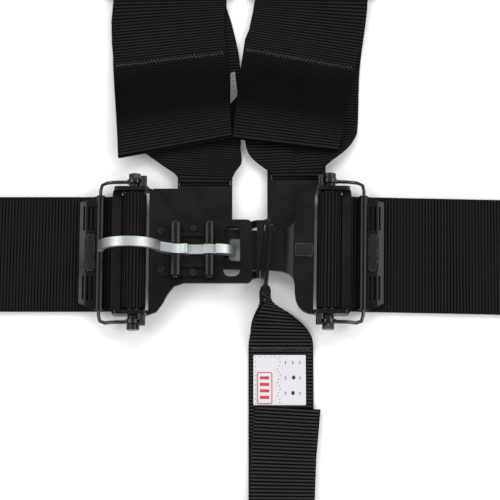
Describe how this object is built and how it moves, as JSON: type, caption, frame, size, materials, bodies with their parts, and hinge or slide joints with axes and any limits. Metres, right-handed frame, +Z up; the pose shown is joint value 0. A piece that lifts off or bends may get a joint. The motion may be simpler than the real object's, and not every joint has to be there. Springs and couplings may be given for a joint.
{
  "type": "racing harness",
  "caption": "Latch-and-link racing harness laid flat and fastened: lap, shoulder and crotch straps on a lever buckle, with bail-handle lap adjusters and bolt-in brackets.",
  "frame": {"origin": "on the surface the harness lies on, under the middle of its outline, which is also under the buckle's link tongue", "axes": "+X towards the right-hand lap strap, +Y towards the shoulder straps, +Z up from the surface"},
  "size_m": [0.56, 0.584, 0.0473],
  "materials": {
    "webbing": "black ribbed polyester webbing",
    "keeper_elastic": "black woven elastic",
    "black_steel": "satin black powder coat",
    "dark_fastener": "black oxide steel, slightly shiny",
    "badge": "satin black, raised and blank",
    "zinc_plate": "bright zinc plate, satin",
    "spring_wire": "bare spring wire",
    "woven_label": null
  },
  "bodies": {
    "harness": {"latch_plate": "black_steel", "link_plate": "black_steel", "left_shoulder_tab": "black_steel", "right_shoulder_tab": "black_steel", "crotch_tab": "black_steel", "lever_base": "black_steel", "lever_pin": "dark_fastener", "claw_pin": "dark_fastener", "spring_seat": "black_steel", "claw_spring": "spring_wire", "link_badge": "badge", "base_rivet_1": "dark_fastener", "base_rivet_2": "dark_fastener", "base_rivet_3": "dark_fastener", "base_rivet_4": "dark_fastener", "left_cheek_stud_upper": "dark_fastener", "left_cheek_stud_lower": "dark_fastener", "right_cheek_stud_upper": "dark_fastener", "right_cheek_stud_lower": "dark_fastener", "left_lap_strap": "webbing", "right_lap_strap": "webbing", "left_shoulder_strap": "webbing", "right_shoulder_strap": "webbing", "left_shoulder_tail": "webbing", "right_shoulder_tail": "webbing", "crotch_strap": "webbing", "crotch_tail": "webbing", "left_lap_stored_webbing": "webbing", "right_lap_stored_webbing": "webbing", "left_shoulder_stored_webbing": "webbing", "right_shoulder_stored_webbing": "webbing", "crotch_stored_webbing": "webbing", "left_lap_keeper_band": "keeper_elastic", "right_lap_keeper_band": "keeper_elastic", "left_shoulder_keeper_band": "keeper_elastic", "right_shoulder_keeper_band": "keeper_elastic", "crotch_keeper_band": "keeper_elastic", "left_lap_anchor_bracket": "black_steel", "right_lap_anchor_bracket": "black_steel", "left_shoulder_anchor_bracket": "black_steel", "right_shoulder_anchor_bracket": "black_steel", "crotch_anchor_bracket": "black_steel", "left_shoulder_adjuster": "black_steel", "right_shoulder_adjuster": "black_steel", "crotch_adjuster": "black_steel", "crotch_label": "woven_label", "shoulder_label": "woven_label"},
    "lever": {"latch_lever": "zinc_plate"},
    "claw": {"latch_claw": "zinc_plate"},
    "left_handle": {"left_grip_bar": "black_steel", "left_bar_bolt": "dark_fastener", "left_bail": "black_steel", "left_release_handle": "black_steel", "left_handle_badge": "badge"},
    "right_handle": {"right_grip_bar": "black_steel", "right_bar_bolt": "dark_fastener", "right_bail": "black_steel", "right_release_handle": "black_steel", "right_handle_badge": "badge"}
  },
  "joints": [
    {"name": "lever_lift", "type": "hinge", "parent": "harness", "child": "lever", "pos_m": [-0.0481, 0, 0.01742], "axis": [0, 1, 0], "range_deg": [0, 55]},
    {"name": "claw_lift", "type": "hinge", "parent": "harness", "child": "claw", "pos_m": [-0.0262, 0, 0.01742], "axis": [0, -1, 0], "range_deg": [0, 27], "stiffness_Nm_per_rad": 0.05, "springref_deg": -5.73, "deforming": ["claw_spring"]},
    {"name": "left_handle_lift", "type": "hinge", "parent": "harness", "child": "left_handle", "pos_m": [-0.0754, 0, 0.01098], "axis": [0, 1, 0], "range_deg": [0, 23]},
    {"name": "right_handle_lift", "type": "hinge", "parent": "harness", "child": "right_handle", "pos_m": [0.0513, 0.0004, 0.01098], "axis": [-0.0209, -0.9998, 0], "range_deg": [0, 95]}
  ],
  "couplings": [
    {"joint": "claw_lift", "follows": "lever_lift", "ratio": 0.48}
  ]
}
